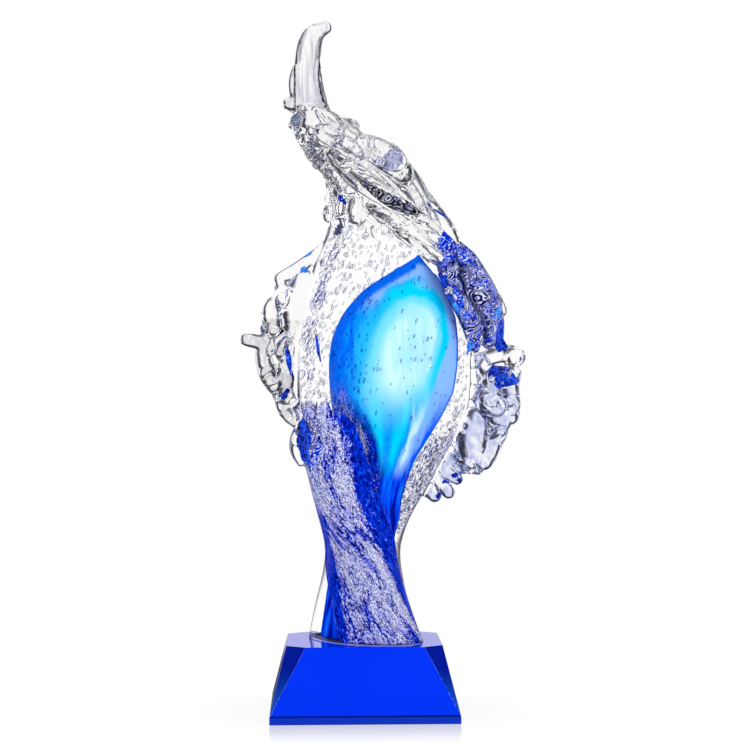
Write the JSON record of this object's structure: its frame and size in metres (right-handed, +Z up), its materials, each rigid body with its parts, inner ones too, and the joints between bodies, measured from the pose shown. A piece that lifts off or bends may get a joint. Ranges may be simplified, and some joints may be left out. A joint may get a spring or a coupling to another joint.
{
  "type": "glass award",
  "caption": "Free-standing art glass award: a twisted cased-glass blade with a blue flame inside, a curled horn and applied folds, on a bevelled cobalt crystal base.",
  "frame": {"origin": "middle of the flat underside of the base", "axes": "+Z up through the sculpture, +X across the award to the right, front faces -Y"},
  "size_m": [0.1773, 0.084, 0.4273],
  "materials": {
    "cobalt_crystal": "cobalt blue optical crystal, cut and polished",
    "clear_glass": "clear hot-worked glass, fire polished, with seed bubbles",
    "cobalt_glass": "cobalt blue cased glass",
    "cobalt_crest_glass": "clear glass over cobalt with silver seed bubbles",
    "aqua_glass": "aqua blue cased glass",
    "opal_glass": "pale opal glass, faintly milky",
    "adhesive": "clear cured adhesive"
  },
  "bodies": {
    "root": {"base_block": "cobalt_crystal", "bond_film": "adhesive", "clear_body": "clear_glass", "cobalt_layer": "cobalt_glass", "aqua_layer": "aqua_glass", "opal_core": "opal_glass", "horn": "clear_glass", "horn_leaf": "clear_glass", "horn_strand_outer": "clear_glass", "horn_strand_front": "clear_glass", "horn_bead": "clear_glass", "crown_nub": "clear_glass", "crown_rope_back": "clear_glass", "crown_rope_outer": "clear_glass", "crown_dome": "clear_glass", "crown_rope_front": "clear_glass", "crown_rope_inner": "clear_glass", "crown_leaf": "clear_glass", "crown_fold": "clear_glass", "crown_chest": "clear_glass", "crown_bead": "clear_glass", "left_shoulder_lobe": "clear_glass", "left_shoulder_link": "clear_glass", "left_shoulder_bead_upper": "clear_glass", "left_shoulder_bead_lower": "clear_glass", "left_wing_rim": "clear_glass", "left_wing_dome": "clear_glass", "left_wing_knuckle": "clear_glass", "left_wing_lobe": "clear_glass", "left_finger": "clear_glass", "left_finger_collar": "clear_glass", "left_finger_fold": "clear_glass", "left_column": "clear_glass", "left_hook": "clear_glass", "left_hook_loop": "clear_glass", "left_lower_curl": "clear_glass", "left_pocket_bead": "clear_glass", "right_shoulder": "cobalt_crest_glass", "right_beak": "clear_glass", "right_inner_fold": "cobalt_crest_glass", "right_ridge": "clear_glass", "right_shoulder_bead": "clear_glass", "right_tongue": "clear_glass", "right_column": "clear_glass", "right_cup": "clear_glass", "right_lobe_upper": "clear_glass", "right_lens": "clear_glass", "right_lobe_lower": "clear_glass", "right_lobe_rim": "clear_glass", "drip_first": "clear_glass", "drip_second": "clear_glass", "drip_third": "clear_glass", "drip_fourth": "clear_glass"}
  },
  "joints": []
}
